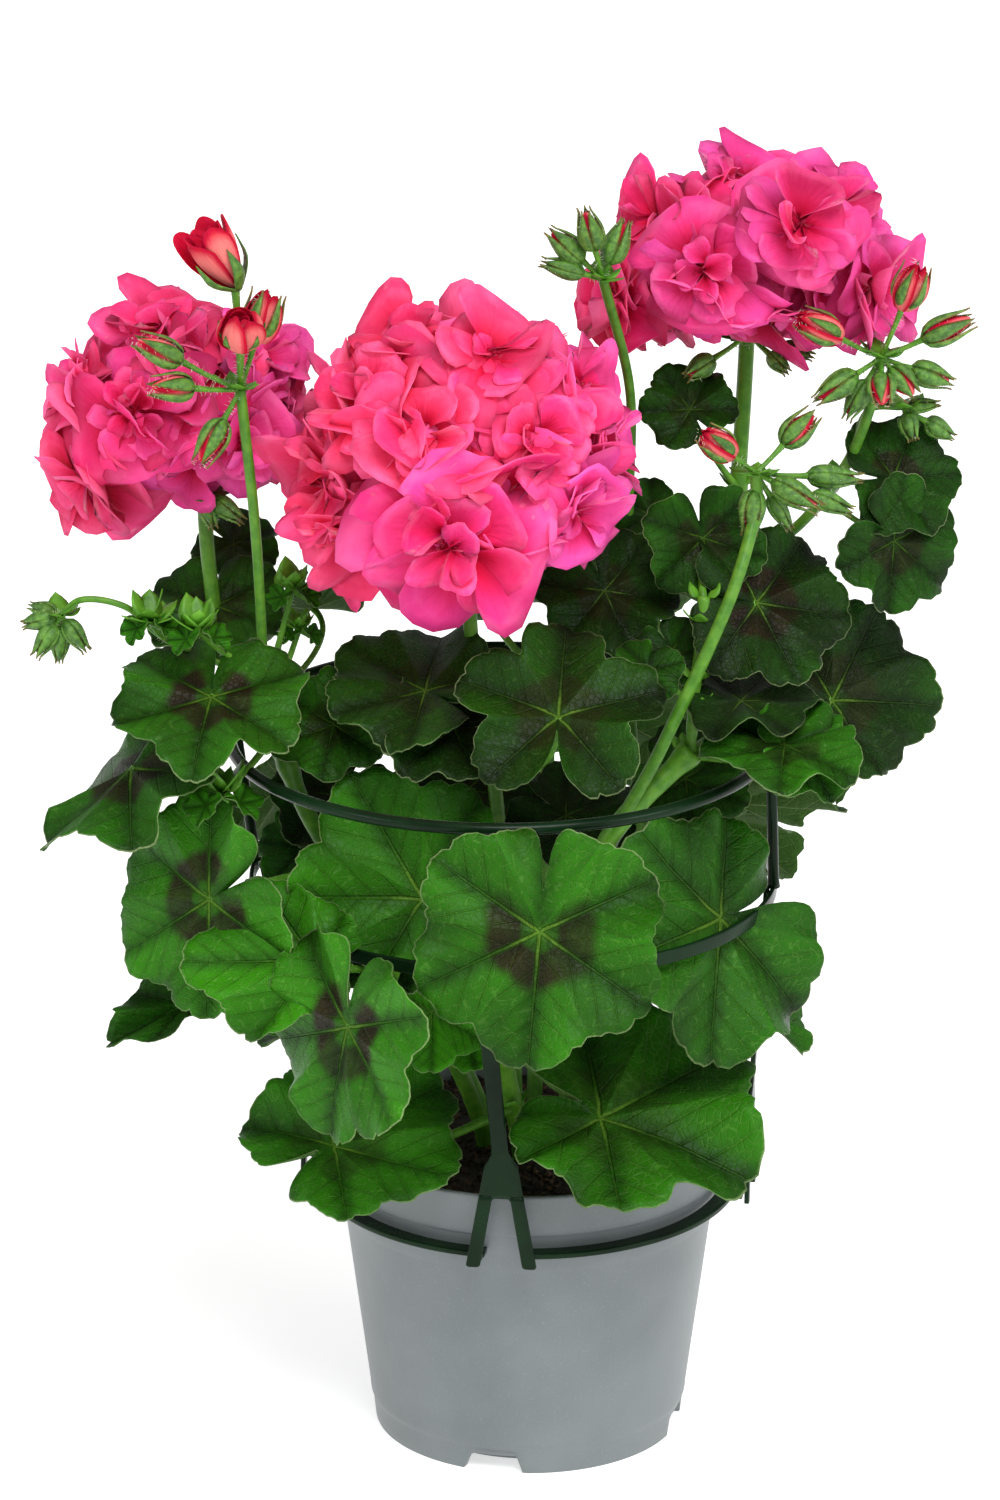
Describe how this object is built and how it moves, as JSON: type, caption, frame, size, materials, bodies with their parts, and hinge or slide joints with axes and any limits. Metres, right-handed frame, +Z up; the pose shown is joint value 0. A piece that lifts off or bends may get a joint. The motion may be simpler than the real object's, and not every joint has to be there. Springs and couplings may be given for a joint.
{
  "type": "potted ivy geranium",
  "caption": "Flowering ivy geranium with lobed leaves, bud sprays and pink flower heads, in a round plastic pot with a clip-on support cage.",
  "frame": {"origin": "centre of the pot's foot, on the surface that it stands on", "axes": "+Z up, -Y towards the front, +X to the right seen from the front"},
  "size_m": [0.301, 0.2444, 0.4233],
  "materials": {
    "pot_plastic": "satin blue-grey plastic",
    "compost": "damp peat compost, matte",
    "cage_plastic": "glossy dark green plastic",
    "foliage": "satin living leaf with pale veins and a brown zone",
    "petals": "soft pink petal"
  },
  "bodies": {
    "root": {"pot": "pot_plastic", "compost": "compost", "cage_top_hoop": "cage_plastic", "cage_middle_hoop": "cage_plastic", "cage_upper_bar_1": "cage_plastic", "cage_foot_1": "cage_plastic", "cage_band_1": "cage_plastic", "cage_upper_bar_2": "cage_plastic", "cage_foot_2": "cage_plastic", "cage_band_2": "cage_plastic", "cage_upper_bar_3": "cage_plastic", "cage_foot_3": "cage_plastic", "cage_band_3": "cage_plastic", "cage_upper_bar_4": "cage_plastic", "cage_foot_4": "cage_plastic", "cage_band_4": "cage_plastic", "stem_front": "foliage", "stem_right": "foliage", "stem_left": "foliage", "stem_middle": "foliage", "stem_back_right": "foliage", "stem_back_left": "foliage", "stem_back": "foliage", "head_middle": "petals", "head_left": "petals", "head_right": "petals"}
  },
  "joints": []
}
